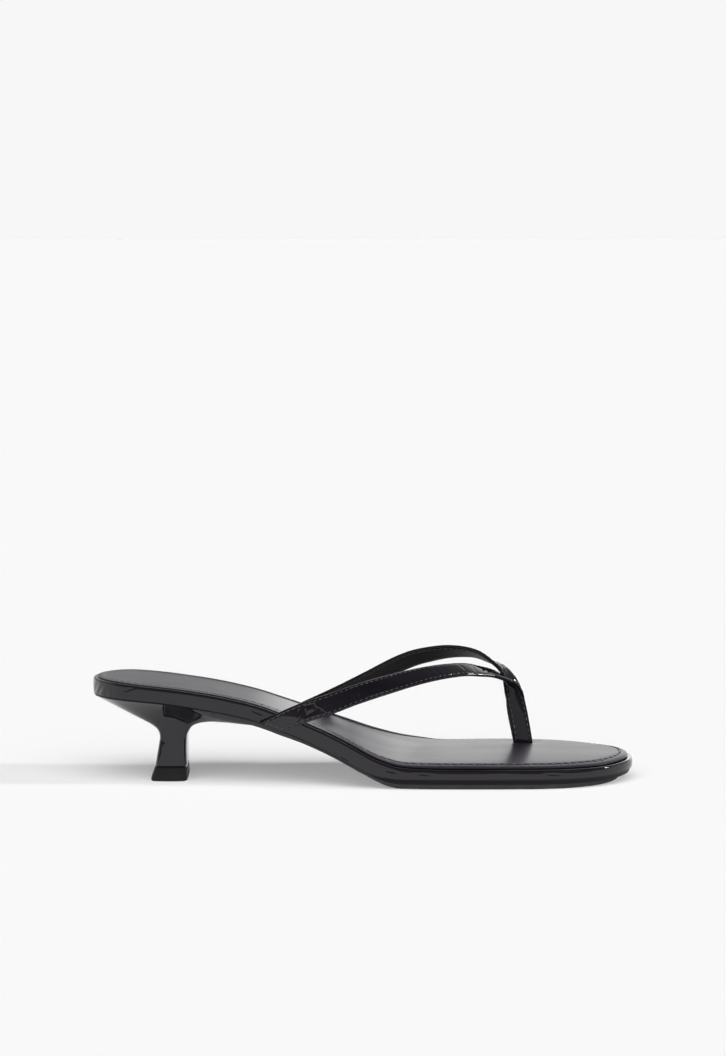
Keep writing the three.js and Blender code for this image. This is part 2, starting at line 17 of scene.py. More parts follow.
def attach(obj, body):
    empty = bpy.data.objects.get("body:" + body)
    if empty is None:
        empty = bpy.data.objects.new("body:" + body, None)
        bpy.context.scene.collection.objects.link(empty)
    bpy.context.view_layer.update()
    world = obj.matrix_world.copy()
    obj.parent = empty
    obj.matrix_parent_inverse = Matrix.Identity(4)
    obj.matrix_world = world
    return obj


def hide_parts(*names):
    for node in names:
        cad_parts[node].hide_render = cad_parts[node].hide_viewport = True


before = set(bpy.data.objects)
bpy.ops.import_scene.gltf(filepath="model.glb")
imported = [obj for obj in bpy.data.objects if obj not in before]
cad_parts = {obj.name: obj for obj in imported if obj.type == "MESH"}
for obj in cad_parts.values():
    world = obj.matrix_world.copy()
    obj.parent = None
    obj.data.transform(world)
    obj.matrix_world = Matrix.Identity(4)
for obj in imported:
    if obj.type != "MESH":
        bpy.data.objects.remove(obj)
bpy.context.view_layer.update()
print("solids:", sorted(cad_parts))

# %% [markdown]
# The camera comes first, because everything is judged through it. It stands low and far away,
# as for a catalogue: a long lens keeps the far side of the sole almost as large as the near
# side. The picture is taller than it is wide, so Blender's sensor width lies along its height.

# %% Camera
PICTURE = (726, 1056)
FOCAL_PIXELS = 3354
CAMERA_PLACE = (0, -1.4825, 0.2532)
DEGREES_DOWN = 5.468
camera_data = bpy.data.cameras.new("camera")
camera_data.sensor_width = 36
camera_data.lens = FOCAL_PIXELS / PICTURE[1] * camera_data.sensor_width
camera_data.clip_start = 0.05
camera_data.clip_end = 60
camera = bpy.data.objects.new("camera", camera_data)
bpy.context.scene.collection.objects.link(camera)
camera.location = CAMERA_PLACE
camera.rotation_euler = (math.radians(90 - DEGREES_DOWN), 0, 0)
bpy.context.scene.camera = camera
print("lens, mm:", round(camera_data.lens, 1))

# %% [markdown]
# Every finish below is a node tree. Linking nodes one by one makes long code, so a small class
# wraps a socket and lets Python's own signs add the Math nodes: `1 - mask * 0.5` becomes two
# nodes. Every other node comes from one method, which takes its type, settings and sockets.

# %% Wires and finishes
class Wire:
    """An output socket that can take part in sums."""

    def __init__(self, finish, socket):
        self.finish = finish
        self.socket = socket

    def math(self, operation, first, second=0.0):
        return self.finish.node("Math", {"operation": operation}, {0: first, 1: second})

    def __add__(self, other):
        return self.math("ADD", self, other)

    def __radd__(self, other):
        return self.math("ADD", other, self)

    def __sub__(self, other):
        return self.math("SUBTRACT", self, other)

    def __rsub__(self, other):
        return self.math("SUBTRACT", other, self)

    def __mul__(self, other):
        return self.math("MULTIPLY", self, other)

    def __rmul__(self, other):
        return self.math("MULTIPLY", other, self)

    def __truediv__(self, other):
        return self.math("DIVIDE", self, other)

    def __pow__(self, other):
        return self.math("POWER", self, other)


class Finish:
    """A material and its node tree."""

    def __init__(self, name):
        self.material = bpy.data.materials.new(name)
        self.material.use_nodes = True
        self.tree = self.material.node_tree
        self.shader = self.tree.nodes["Principled BSDF"]

    def node(self, kind, settings=None, sockets=None, output=0):
        made = self.tree.nodes.new("ShaderNode" + kind)
        for name, value in (settings or {}).items():
            if name == "stops":
                set_stops(made.color_ramp, value)
            else:
                setattr(made, name, value)
        for name, value in (sockets or {}).items():
            self.plug(made.inputs[name], value)
        return Wire(self, made.outputs[output])

    def plug(self, socket, value):
        if isinstance(value, Wire):
            self.tree.links.new(value.socket, socket)
        else:
            socket.default_value = value

    def skin(self, **sockets):
        """Sets the shader's own sockets, by their names with underscores."""
        for name, value in sockets.items():
            self.plug(self.shader.inputs[name.replace("_", " ")], value)
        return self.material

    def place(self):
        return self.node("TexCoord", output="Object")

    def noise(self, scale, detail=2.0, vector=None, roughness=0.5):
        sockets = {"Vector": vector or self.place(), "Scale": scale, "Detail": detail, "Roughness": roughness}
        return self.node("TexNoise", {}, sockets, "Fac")

    def bump(self, height, distance, normal=None):
        sockets = {"Height": height, "Distance": distance, "Strength": 1.0}
        if normal is not None:
            sockets["Normal"] = normal
        return self.node("Bump", {}, sockets, "Normal")

    def blend(self, factor, first, second):
        sockets = {"Factor": factor, 6: first, 7: second}
        return self.node("Mix", {"data_type": "RGBA"}, sockets, 2)

    def axis(self, vector, letter):
        return self.node("SeparateXYZ", {}, {"Vector": vector}, letter)

    def fade(self, value, start, end, low, high):
        """Runs evenly from low to high while the value goes from start to end."""
        sockets = {"Value": value, "From Min": start, "From Max": end, "To Min": low, "To Max": high}
        return self.node("MapRange", {}, sockets, "Result")


def set_stops(ramp, stops):
    while len(ramp.elements) > 1:
        ramp.elements.remove(ramp.elements[-1])
    ramp.elements[0].position = stops[0][0]
    ramp.elements[0].color = grey(stops[0][1])
    for position, level in stops[1:]:
        ramp.elements.new(position).color = grey(level)


def grey(level, warmth=0.0):
    return (level * (1 + warmth), level, level * (1 - warmth), 1)


def violet(level):
    """A black with the faint violet cast of dyed leather."""
    return (level * 1.1, level * 0.85, level * 1.35, 1.0)


print("finishes are ready to be mixed")

# %% [markdown]
# The set is a pale floor that runs on to the horizon, where it meets a surround of the same
# brightness. Colours are shown by the plain standard curve, which keeps a white set white.
# Black patent shows mostly what is around it, so the surround is shaped for reflections: white
# low down, grey higher up, darker in front, with a soft box high up behind.

# %% Floor and surround
bpy.context.scene.view_settings.view_transform = "Standard"
FLOOR_RADIUS = 25
PAPER_LEVEL = 0.86
SURROUND_LEVELS = [
    (0.0, 0.93), (0.065, 0.93), (0.13, 0.58), (0.45, 0.58),
    (0.62, 0.46), (0.78, 0.26), (0.9, 0.17), (1.0, 0.14),
]
SOFT_BOX_FROM = Vector((0.16, 0.86, 0.47)).normalized()
SOFT_BOX_EDGE = 0.915
SOFT_BOX_LEVEL = 1.4
FRONT_LEVEL = 0.26
floor_mesh = bmesh.new()
bmesh.ops.create_circle(floor_mesh, cap_ends=True, segments=96, radius=FLOOR_RADIUS)
floor_data = bpy.data.meshes.new("floor")
floor_mesh.to_mesh(floor_data)
floor_mesh.free()
floor = bpy.data.objects.new("floor", floor_data)
bpy.context.scene.collection.objects.link(floor)
paper = Finish("pale_paper")
tooth = paper.noise(350, 3)
floor_data.materials.append(paper.skin(
    Base_Color=grey(PAPER_LEVEL),
    Roughness=0.80 + tooth * 0.15,
    Specular_IOR_Level=0.0,
    Normal=paper.bump(tooth, 0.00002),
))
world = bpy.data.worlds.new("surround")
world.use_nodes = True
bpy.context.scene.world = world
sky = world.node_tree
ray = sky.nodes.new("ShaderNodeTexCoord")
axes = sky.nodes.new("ShaderNodeSeparateXYZ")
ramp = sky.nodes.new("ShaderNodeValToRGB")
sky.links.new(ray.outputs["Generated"], axes.inputs[0])
sky.links.new(axes.outputs["Z"], ramp.inputs[0])
set_stops(ramp.color_ramp, SURROUND_LEVELS)


def world_node(kind, inputs, **settings):
    """Adds a node to the surround's tree and gives its outputs."""
    made = sky.nodes.new("ShaderNode" + kind)
    for name, value in settings.items():
        setattr(made, name, value)
    for name, value in inputs.items():
        if isinstance(value, bpy.types.NodeSocket):
            sky.links.new(value, made.inputs[name])
        else:
            made.inputs[name].default_value = value
    return made.outputs


def world_fade(value, start, end, low, high):
    """Goes softly from low to high while the value goes from start to end."""
    inputs = {"Value": value, "From Min": start, "From Max": end, "To Min": low, "To Max": high}
    return world_node("MapRange", inputs, interpolation_type="SMOOTHSTEP")["Result"]


behind = world_fade(axes.outputs["Y"], -0.35, 0.05, FRONT_LEVEL, 1.0)
towards_box = {0: ray.outputs["Generated"], 1: SOFT_BOX_FROM}
facing = world_node("VectorMath", towards_box, operation="DOT_PRODUCT")["Value"]
soft_box = world_fade(facing, SOFT_BOX_EDGE, 1.0, 0.0, SOFT_BOX_LEVEL)
dimmed = world_node("Math", {0: ramp.outputs[0], 1: behind}, operation="MULTIPLY")[0]
total = world_node("Math", {0: dimmed, 1: soft_box}, operation="ADD")[0]
sky.links.new(total, sky.nodes["Background"].inputs[0])
world.cycles_visibility.diffuse = False
print("floor radius, m:", FLOOR_RADIUS)

# %% [markdown]
# A low sun from the right throws the long shadow to the left of the heel, and a faint one from
# the front right softens it. The fill comes from the front and casts no shadow, because the
# floor before the sandal has none. The box behind is there for the gleams on the leather alone.

# %% Lamps
def lamp(name, kind, energy, place, target=(0, 0, 0.03), **settings):
    data = bpy.data.lights.new(name, kind)
    data.energy = energy
    for setting, value in settings.items():
        setattr(data, setting, value)
    made = bpy.data.objects.new(name, data)
    bpy.context.scene.collection.objects.link(made)
    made.location = place
    towards = Vector(target) - Vector(place)
    made.rotation_euler = towards.to_track_quat("-Z", "Y").to_euler()
    return made


lamp("side_key", "SUN", 0.95, (1.0, -0.10, 0.56), angle=math.radians(6))
lamp("front_key", "SUN", 0.05, (0.75, -0.85, 0.95), angle=math.radians(20))
fill = lamp("fill", "SUN", 4.55, (0.0, -1.0, 0.9), angle=math.radians(84))
fill.visible_glossy = False
fill.data.use_shadow = False
back_box = lamp(
    "back_box", "AREA", 1.2, (0.50, 1.20, 0.25), (0.3, 0, 0.02), shape="RECTANGLE", size=0.95, size_y=0.5,
)
back_box.visible_camera = False
back_box.visible_diffuse = False

# %% [markdown]
# A shoe is built on a last, a foot-shaped form, so its outline and side view come from a few
# tables along the length. Each row below holds shares of a named size, in the same order from
# the heel to the toe as in the measured solids, so the dressed pieces land where the solids are.
# For the toe, each side has the share of the length where its last curve starts, and a power.

# %% Sizes of the sandal, in millimetres
LENGTH = 240
BALL_WIDTH = 78
SEAT_WIDTH = 53
HEEL_HEIGHT = 38.2
TOE_SPRING = 1.0
BALL_SKEW = 10
BAND_HEIGHT = 7.2
SEAM = 0.3
BEVEL_DROP = 2.1
BEVEL_INSET = 1.3
OUTSOLE_THICKNESS = 2.0
OUTER_FULLNESS = 2.2
INSOLE_STEP = 1.1
INSOLE_CROWN = 2.6
INNER_TOE = (0.750, 2.0)
OUTER_TOE = (0.792, 2.15)
HALF = LENGTH / 2
LIFT = OUTSOLE_THICKNESS + SEAM + BEVEL_DROP
CENTRE_Y = -0.019 * BALL_WIDTH
MM = 0.001

PLAN = {
    "at": (0.110, 0.208, 0.292, 0.417, 0.500, 0.563, 0.646, 0.708, 0.750, 0.792),
    "lateral": (0.718, 0.718, 0.705, 0.782, 0.897, 0.962, 0.997, 1.000, 0.998, 0.987),
    "medial": (0.641, 0.628, 0.628, 0.718, 0.808, 0.885, 0.974, 1.000, 1.000, 1.000),
}
SIDE = {
    "at": (0.000, 0.054, 0.092, 0.129, 0.167, 0.203, 0.239, 0.275, 0.308, 0.348, 0.385, 0.422,
           0.458, 0.476, 0.495, 0.513, 0.531, 0.549, 0.567, 0.604, 0.650, 0.820, 0.920, 1.000),
    "rise": (1.000, 0.993, 0.979, 0.956, 0.918, 0.874, 0.827, 0.772, 0.707, 0.603, 0.497, 0.377,
             0.249, 0.182, 0.114, 0.061, 0.027, 0.009, 0.000, 0.000, 0.000, 0.000, 0.000, 0.000),
    "height": (1.000, 0.975, 0.925, 0.910, 0.930, 0.960, 0.965, 0.955, 0.965, 0.990, 1.040, 1.095,
               1.135, 1.140, 1.115, 1.045, 0.950, 0.835, 0.735, 0.660, 0.636, 0.625, 0.610, 0.600),
}
LAYER = {
    "at": (0, 0.34, 0.4, 0.45, 0.5, 0.56, 0.65, 0.72, 0.86, 0.94, 1),
    "skew": (0, 0, 0, 0.2, 0.5, 1.1, 1.9, 1.8, 1, 0.3, 0),
    "bevel": (0.1, 0.1, 0.1, 0.1, 0.15, 1, 1, 1, 1, 1, 1),
    "outsole": (0.9, 0.9, 0.6, 0.5, 0.55, 1, 1, 1, 1, 1, 1),
    "setback": (0.35, 0.35, 0.7, 0.85, 0.9, 1, 1, 1, 1, 1.1, 1.2),
    "crown": (0.1, 0.15, 0.2, 0.25, 0.35, 0.6, 1, 1, 1, 0.8, 0.5),
    "full": (2.4, 2.4, 2.4, 2.4, 2.4, 2.4, 3.2, 6, 6, 6, 6),
    "step": (0.4, 0.7, 0.8, 0.9, 1, 1, 1, 1, 1, 1, 1),
    "spring": (0, 0, 0, 0, 0, 0, 0, 0, 0, 0.12, 1),
}
print("rows in the side view:", len(SIDE["at"]))

# %% [markdown]
# Patent leather is a mirror, so a kink in a curve that matt leather would hide shows as a broken
# gleam. The curves through the tables are therefore sampled finely and eased with a soft average.

# %% Curves through the tables
def through(xs, ys):
    """A curve through the points that never overshoots them."""
    xs = np.asarray(xs, float)
    ys = np.asarray(ys, float)
    gaps = np.diff(xs)
    rises = np.diff(ys) / gaps
    slopes = np.zeros(len(xs))
    for i in range(1, len(xs) - 1):
        if rises[i - 1] * rises[i] > 0:
            slopes[i] = 2 * rises[i - 1] * rises[i] / (rises[i - 1] + rises[i])

    def read(value):
        value = np.clip(value, xs[0], xs[-1])
        i = np.clip(np.searchsorted(xs, value, side="right") - 1, 0, len(xs) - 2)
        t = (value - xs[i]) / gaps[i]
        start = ys[i] * (1 + 2 * t) * (1 - t) ** 2 + slopes[i] * gaps[i] * t * (1 - t) ** 2
        end = ys[i + 1] * t * t * (3 - 2 * t) + slopes[i + 1] * gaps[i] * t * t * (t - 1)
        return start + end

    return read


def eased(read, reach, low=0.0, high=1.0, count=2401):
    """The same curve after a soft average over reach on either side."""
    step = (high - low) / (count - 1)
    pad = int(3 * reach / step)
    at = low + step * np.arange(-pad, count + pad)
    weights = np.exp(-0.5 * (step * np.arange(-pad, pad + 1) / reach) ** 2)
    values = np.convolve(read(at), weights / weights.sum(), mode="valid")
    return lambda value: np.interp(value, at[pad:-pad], values)


def columns(table, reach):
    return {name: eased(through(table["at"], table[name]), reach) for name in table if name != "at"}


plan = columns(PLAN, 0.008)
side = columns(SIDE, 0.006)
layer = columns(LAYER, 0.012)
print("band height at the waist, mm:", round(float(side["height"](0.45)) * BAND_HEIGHT, 2))

# %% Outline and heights of the last
def share(x):
    return (x + HALF) / LENGTH


def edge_y(x, medial):
    """Where the band's side lies at x, on the inner or the outer side of the foot."""
    x = np.asarray(x, float)
    sign = 1 if medial else -1
    start, power = INNER_TOE if medial else OUTER_TOE
    read = plan["medial" if medial else "lateral"]
    radius = SEAT_WIDTH / 2
    seat = -HALF + radius
    toe = start * LENGTH - HALF
    held = np.clip(x, seat, toe)
    reach = np.abs(sign * read(share(held)) * BALL_WIDTH / 2 - CENTRE_Y)
    behind = np.clip((seat - x) / radius, 0, 1)
    ahead = np.clip((x - toe) / (HALF - toe), 0, 1)
    return CENTRE_Y + sign * reach * np.sqrt(1 - behind ** 2) * (1 - ahead ** power) ** (1 / power)


def across(x, y):
    """How far y lies from the outer edge to the inner edge, from 0 to 1."""
    low = edge_y(x, False)
    high = edge_y(x, True)
    return np.clip((y - low) / np.maximum(high - low, 1), 0, 1)


def last_share(x, y):
    return share(x - BALL_SKEW * layer["skew"](share(x)) * across(x, y))


def band_low(x, y):
    rise = side["rise"](last_share(x, y))
    return LIFT + (HEEL_HEIGHT - LIFT) * rise + TOE_SPRING * layer["spring"](share(x))


def band_top(x, y):
    return band_low(x, y) + BAND_HEIGHT * side["height"](last_share(x, y))


def bevel(x, y):
    return layer["bevel"](last_share(x, y))


def midsole_under(x, y):
    return band_low(x, y) - BEVEL_DROP * bevel(x, y)


def outsole_under(x, y):
    return midsole_under(x, y) - SEAM - OUTSOLE_THICKNESS * layer["outsole"](last_share(x, y))


def insole_edge(x, y):
    return band_top(x, y) + INSOLE_STEP * layer["step"](share(x))


def insole_top(x, y):
    t = across(x, y)
    power = np.where(t > 0.5, layer["full"](share(x)), OUTER_FULLNESS)
    bulge = 1 - np.abs(2 * t - 1) ** power
    return insole_edge(x, y) + INSOLE_CROWN * layer["crown"](share(x)) * bulge


def outline(count, back=-HALF, front=HALF, edge=edge_y):
    """Points at even steps along each side, from the back point round the outer side."""
    turn = np.linspace(0, math.pi, 4001)
    xs = back + (front - back) * (1 - np.cos(turn)) / 2
    sides = []
    for medial in (False, True):
        ys = np.asarray(edge(xs, medial))
        run = np.concatenate([[0], np.cumsum(np.hypot(np.diff(xs), np.diff(ys)))])
        even = np.linspace(0, run[-1], count // 2 + 1)
        sides.append(np.stack([np.interp(even, run, xs), np.interp(even, run, ys)], 1))
    return np.concatenate([sides[0], sides[1][-2:0:-1]])


def inset(loop, distance):
    """The outline moved inwards by a distance, which may change from point to point."""
    run = np.roll(loop, -1, 0) - np.roll(loop, 1, 0)
    run /= np.linalg.norm(run, axis=1)[:, None]
    inward = np.stack([-run[:, 1], run[:, 0]], 1)
    return loop + inward * np.broadcast_to(distance, (len(loop),))[:, None]


def lifted(loop, height):
    """A flat loop with a height at every point."""
    z = height(loop[:, 0], loop[:, 1]) if callable(height) else np.full(len(loop), height)
    return np.column_stack([loop, z])


rim = outline(1200)
print("outline, mm:", round(float(np.ptp(rim[:, 0])), 1), "by", round(float(np.ptp(rim[:, 1])), 1))

# %% [markdown]
# Most pieces of a shoe are a loop carried upwards: round the sole board, round the heel, along a
# strap. So one helper starts from a circle of vertices, lays it on the first loop, then extrudes
# its edges and lays each new ring on the next loop. The ends are closed by sliding the last ring
# to a middle line, where the two sides of the loop meet and are merged. Creases and dents are
# soft troughs that press a loop inwards.

# %% Carrying a loop
def carry(loops):
    """A bmesh whose rings of vertices lie on the loops, in millimetres."""
    made = bmesh.new()
    circle = bmesh.ops.create_circle(made, cap_ends=False, segments=len(loops[0]), radius=1)
    ring = list(circle["verts"])
    lay(ring, loops[0])
    for loop in loops[1:]:
        ring = grow(made, ring)
        lay(ring, loop)
    return made


def lay(ring, loop):
    for vertex, point in zip(ring, loop):
        vertex.co = Vector([float(v) * MM for v in point])


def grow(made, ring):
    """Extrudes the ring's edges and gives the new ring in the same order."""
    edges = []
    for a, b in zip(ring, ring[1:] + ring[:1]):
        edges.append(next(e for e in a.link_edges if e.other_vert(a) is b))
    geometry = bmesh.ops.extrude_edge_only(made, edges=edges)["geom"]
    fresh = {g for g in geometry if isinstance(g, bmesh.types.BMVert)}
    following = []
    for a in ring:
        following.append(next(e.other_vert(a) for e in a.link_edges if e.other_vert(a) in fresh))
    return following


def closing(loop, steps, height=None):
    """Loops that slide from this one to the line half way between its two sides."""
    middle = (loop + np.roll(loop[::-1], 1, 0)) / 2
    found = []
    for k in range(1, steps + 1):
        t = k / steps
        level = loop + (middle - loop) * t
        if height is not None:
            level[:, 2] = height(level[:, 0], level[:, 1])
        found.append(level)
    return found


def troughs(across_x, across_y, marks):
    """The depth of soft troughs: each has a middle, a slant, half a length, half a width, a depth."""
    deep = np.zeros(len(across_x))
    for x, y, slant, length, width, depth in marks:
        c, s = math.cos(math.radians(slant)), math.sin(math.radians(slant))
        u = (across_x - x) * c + (across_y - y) * s
        v = (across_y - y) * c - (across_x - x) * s
        deep += depth * np.exp(-(u / length) ** 2 - (v / width) ** 2)
    return deep


def finished(name, made, material, replaced=()):
    """Closes the mesh, turns its faces outwards and makes it a piece of the sandal."""
    bmesh.ops.remove_doubles(made, verts=made.verts, dist=2e-6)
    bmesh.ops.dissolve_degenerate(made, edges=made.edges, dist=1e-6)
    bmesh.ops.recalc_face_normals(made, faces=made.faces)
    data = bpy.data.meshes.new(name)
    made.to_mesh(data)
    made.free()
    for face in data.polygons:
        face.use_smooth = True
    piece = bpy.data.objects.new(name, data)
    bpy.context.scene.collection.objects.link(piece)
    data.materials.append(material)
    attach(piece, "root")
    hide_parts(*replaced)
    print(name, "faces:", len(data.polygons))
    return piece


# %% [markdown]
# Patent leather is smooth leather under a thick clear lacquer. The lacquer is the coat of the
# shader. Under it the leather is black and only half glossy, and the lacquer itself has a faint
# orange-peel wave, which is what breaks up its reflections. The lacquer is made weaker on the
# cut edge under the band and on the toe post: that is painted shade, darker reflections that
# stand in for dark things round the set.

# %% Patent finish
REFLECTION_DIMMING_RUN = 0.006
POST_DIMMED_LACQUER = 0.5
EDGE_DIMMED_LACQUER = 0.25
LEATHER_LEVEL = 0.004


def patent(name, level=LEATHER_LEVEL, wave=0.000006, gloss=0.35, cut_edge=False, dimmed_reflection_from=None):
    finish = Finish(name)
    # Weaker lacquer past a place along X and on faces that point down is painted shade: darker reflections.
    lacquer = 1.0
    if dimmed_reflection_from is not None:
        along = finish.axis(finish.place(), "X")
        lacquer = finish.fade(along, dimmed_reflection_from, dimmed_reflection_from + REFLECTION_DIMMING_RUN, 1.0, POST_DIMMED_LACQUER)
    if cut_edge:
        upwards = finish.axis(finish.node("NewGeometry", output="Normal"), "Z")
        lacquer = finish.fade(upwards, -0.5, -0.2, EDGE_DIMMED_LACQUER, 1.0)
    place = finish.place()
    peel = finish.noise(320, 2, place)
    ripple = finish.noise(90, 2, place)
    smear = finish.noise(60, 4, place, 0.6)
    height = peel * 0.35 + ripple * 0.65
    return finish.skin(
        Base_Color=finish.blend(smear, violet(level * 0.8), violet(level * 1.3)),
        Roughness=gloss + smear * 0.10,
        Specular_IOR_Level=0.0,
        Coat_Weight=lacquer,
        Coat_Roughness=0.02,
        Normal=finish.bump(height, wave),
    )


band_patent = patent("band_patent", cut_edge=True)
print("patent:", band_patent.name)

# %% [markdown]
# The band is one strip of patent leather pulled over the edge of the sole board. Its side is
# flat, its upper edge is tightly rounded, and below it a cut bevel leads down to the outsole.
# Where the strip is pulled round the heel and the arch it creases. Each crease is listed as a
# soft trough: its middle along X and Z, its slant, half length, half width and depth.

# %% Band
SHOULDER = 0.9
BOARD_REACH = 6
TOP_REACH = 4.0
SIDE_START = 0.6
SIDE_BULGE = 0.12
CUT_CORNER = ((0.35, 0.0), (0.10, 0.06), (0.0, 0.25))
LOWER_CORNER = ((0.16, 0.10), (0.06, 0.30), (0.0, SIDE_START))
BAND_CREASES = [
    (-118.2, 41.5, 70, 2.6, 0.50, 0.26), (-116.6, 40.2, 55, 2.4, 0.45, 0.32),
    (-114.9, 40.4, 62, 2.0, 0.40, -0.20), (-113.2, 39.6, 48, 1.8, 0.50, 0.26),
    (-110.2, 41.0, 80, 2.0, 0.60, 0.14), (-104.0, 42.2, 20, 3.0, 0.50, 0.09),
    (-11.6, 15.8, -30, 2.4, 0.35, 0.22), (-8.2, 13.4, -24, 2.8, 0.40, 0.26),
    (-5.0, 12.6, -36, 1.6, 0.35, -0.18), (-46.0, 32.6, -24, 3.0, 0.45, 0.12),
    (12.0, 8.2, -12, 3.0, 0.50, 0.12), (27.0, 7.0, -4, 3.4, 0.45, 0.10), (58.0, 6.6, 2, 5.0, 0.50, 0.08),
    (84.0, 6.8, -4, 4.0, 0.45, 0.10), (101.0, 6.6, 8, 3.0, 0.50, 0.05), (108.5, 6.4, -12, 2.4, 0.45, 0.05),
]


def creased(loop):
    """The loop pressed inwards at each crease on the outer side."""
    depth = troughs(loop[:, 0], loop[:, 2], BAND_CREASES)
    depth *= loop[:, 1] < CENTRE_Y
    pressed = inset(loop[:, :2], np.clip(depth, -0.1, 0.3))
    return np.column_stack([pressed, loop[:, 2]])


bevel_in = BEVEL_INSET * layer["bevel"](share(rim[:, 0]))
board_loop = lifted(inset(rim, bevel_in + BOARD_REACH), midsole_under)
band_loops = closing(board_loop, 4, midsole_under)[::-1] + [board_loop]
for extra, raised in CUT_CORNER:
    band_loops.append(lifted(inset(rim, bevel_in + extra), lambda x, y: midsole_under(x, y) + raised))
band_loops.append(lifted(inset(rim, 0.30 + 0.15 * bevel_in), lambda x, y: band_low(x, y) - 0.05))
for distance, raised in LOWER_CORNER:
    band_loops.append(lifted(inset(rim, distance), lambda x, y: band_low(x, y) + raised))
for t in np.linspace(0.08, 1.0, 14):
    band_loops.append(creased(lifted(inset(rim, -SIDE_BULGE * math.sin(math.pi * t)), lambda x, y: (
        (band_low(x, y) + SIDE_START) * (1 - t) + (band_top(x, y) - SHOULDER) * t))))
for k in range(1, 7):
    turn = k / 6 * math.pi / 2
    band_loops.append(lifted(inset(rim, SHOULDER * (1 - math.cos(turn))), lambda x, y: (
        band_top(x, y) - SHOULDER * (1 - math.sin(turn)))))
top_loop = lifted(inset(rim, TOP_REACH), band_top)
band_loops += [top_loop] + closing(top_loop, 4, band_top)
finished("band", carry(band_loops), band_patent, ["midsole"])

# %% [markdown]
# The insole is satin leather over a thin foam, glued into the tray of the band. It is crowned
# under the forefoot, rolls down at its edge and is pressed in along a row of stitches. The
# strength of its gloss coat is painted light: it changes along the length, from heel to toe, and
# in long streaks, and stands in for the soft gleams of a larger set.

# %% Insole finish
# Strength of the gloss coat from heel to toe: painted gleams.
GLEAM_POLISH = [
    (0.02, 0.30), (0.137, 0.13), (0.30, 0.15), (0.38, 0.60), (0.43, 0.38), (0.48, 0.05), (0.56, 0.38),
    (0.67, 0.40), (0.80, 0.33), (1.0, 0.30),
]


def satin(name, level=0.012):
    finish = Finish(name)
    place = finish.place()
    grain = finish.noise(1100, 3, place, 0.6)
    cloud = finish.noise(35, 3, place)
    pores = finish.node("TexVoronoi", {"feature": "DISTANCE_TO_EDGE"}, {"Vector": place, "Scale": 900.0})
    height = grain * 0.5 + pores * 0.8
    stretch = finish.fade(finish.axis(place, "X"), -0.13, 0.13, 0.0, 1.0)
    drawn = finish.node("Mapping", {}, {"Vector": place, "Scale": (0.10, 1.0, 0.4)}, "Vector")
    gleam_streaks = finish.noise(120, 3, drawn)
    gleam_polish = finish.node("ValToRGB", {"stops": GLEAM_POLISH}, {"Fac": stretch}, "Color")
    # The gloss coat, stronger and weaker in long streaks along the length, is painted gleams.
    streaked_gleams = gleam_polish * (0.55 + gleam_streaks * 0.9)
    waves = finish.noise(48, 2, place)
    tugs = finish.bump(waves, 0.00034)
    return finish.skin(
        Base_Color=finish.blend(cloud, violet(level * 0.85), violet(level * 1.2)),
        Roughness=0.40 + cloud * 0.10 + grain * 0.06,
        Specular_IOR_Level=0.15,
        Coat_Weight=streaked_gleams,
        Coat_Roughness=0.24,
        Normal=finish.bump(height, 0.000012, tugs),
    )


insole_leather = satin("insole_leather")
print("insole:", insole_leather.name)

# %% Insole
INSOLE_SETBACK = 2.0
STITCH_INSET = 3.6
EDGE_DROP = 0.35
EDGE_ROLL = 1.1
TROUGH_DEPTH = 0.42
TROUGH_HALF_WIDTH = 0.65
POST_X = 0.8050 * LENGTH - HALF
POST_Y = 18.5
POST_PULL = 0.7
PULL_REACH = (6.5, 4.0)
DISH = ((0, 0.12, 0.45, 0.65, 0.80), (1.0, 1.3, 1.3, 0.35, 0.0))
PAD_REACH = 6.0
PAD_RINGS = (
    0.06, 0.18, 0.35, 0.6, 0.9, 1.3, 1.8, 2.3, 2.7, 3.0, 3.25, 3.5, 3.7, 3.95, 4.2, 4.6, 5.1, PAD_REACH,
)


def smooth_step(t):
    return t ** 2 * (3 - 2 * t)


def pad_top(x, y, distance):
    """Height of the padded face at a distance from the pad's own edge."""
    edge = insole_edge(x, y) - EDGE_DROP
    rolled = 1 - np.exp(-distance / EDGE_ROLL)
    trough = TROUGH_DEPTH * np.exp(-((distance - STITCH_INSET) / TROUGH_HALF_WIDTH) ** 2)
    from_post = ((x - POST_X) / PULL_REACH[0]) ** 2 + ((y - POST_Y) / PULL_REACH[1]) ** 2
    pull = POST_PULL * np.exp(-from_post)
    inwards = np.clip((distance - 1.5) / 4.5, 0, 1)
    over = np.clip(across(x, y) * 2, 0, 1)
    dish = np.interp(share(x), *DISH) * smooth_step(inwards) * smooth_step(over)
    return edge + (insole_top(x, y) - edge) * rolled - trough - pull - dish


def pad_under(x, y):
    return band_top(x, y) + SEAM


under_loop = lifted(inset(rim, INSOLE_SETBACK + 0.3), pad_under)
insole_loops = closing(under_loop, 4, pad_under)[::-1] + [under_loop]
insole_loops.append(lifted(inset(rim, INSOLE_SETBACK), lambda x, y: pad_under(x, y) + 0.15))
insole_loops.append(lifted(inset(rim, INSOLE_SETBACK), lambda x, y: pad_top(x, y, 0.0) - 0.12))
for distance in PAD_RINGS:
    insole_loops.append(lifted(inset(rim, INSOLE_SETBACK + distance), lambda x, y: pad_top(x, y, distance)))
insole_loops += closing(insole_loops[-1], 16, lambda x, y: pad_top(x, y, PAD_REACH))
insole = finished("insole_pad", carry(insole_loops), insole_leather, ["insole"])

# %% [markdown]
# The outsole is a thin sheet of rubber with a sanded edge. Nobody polishes it, so it is matt and
# slightly dusty, and it is set back far enough to look like a dark line under the bevel.

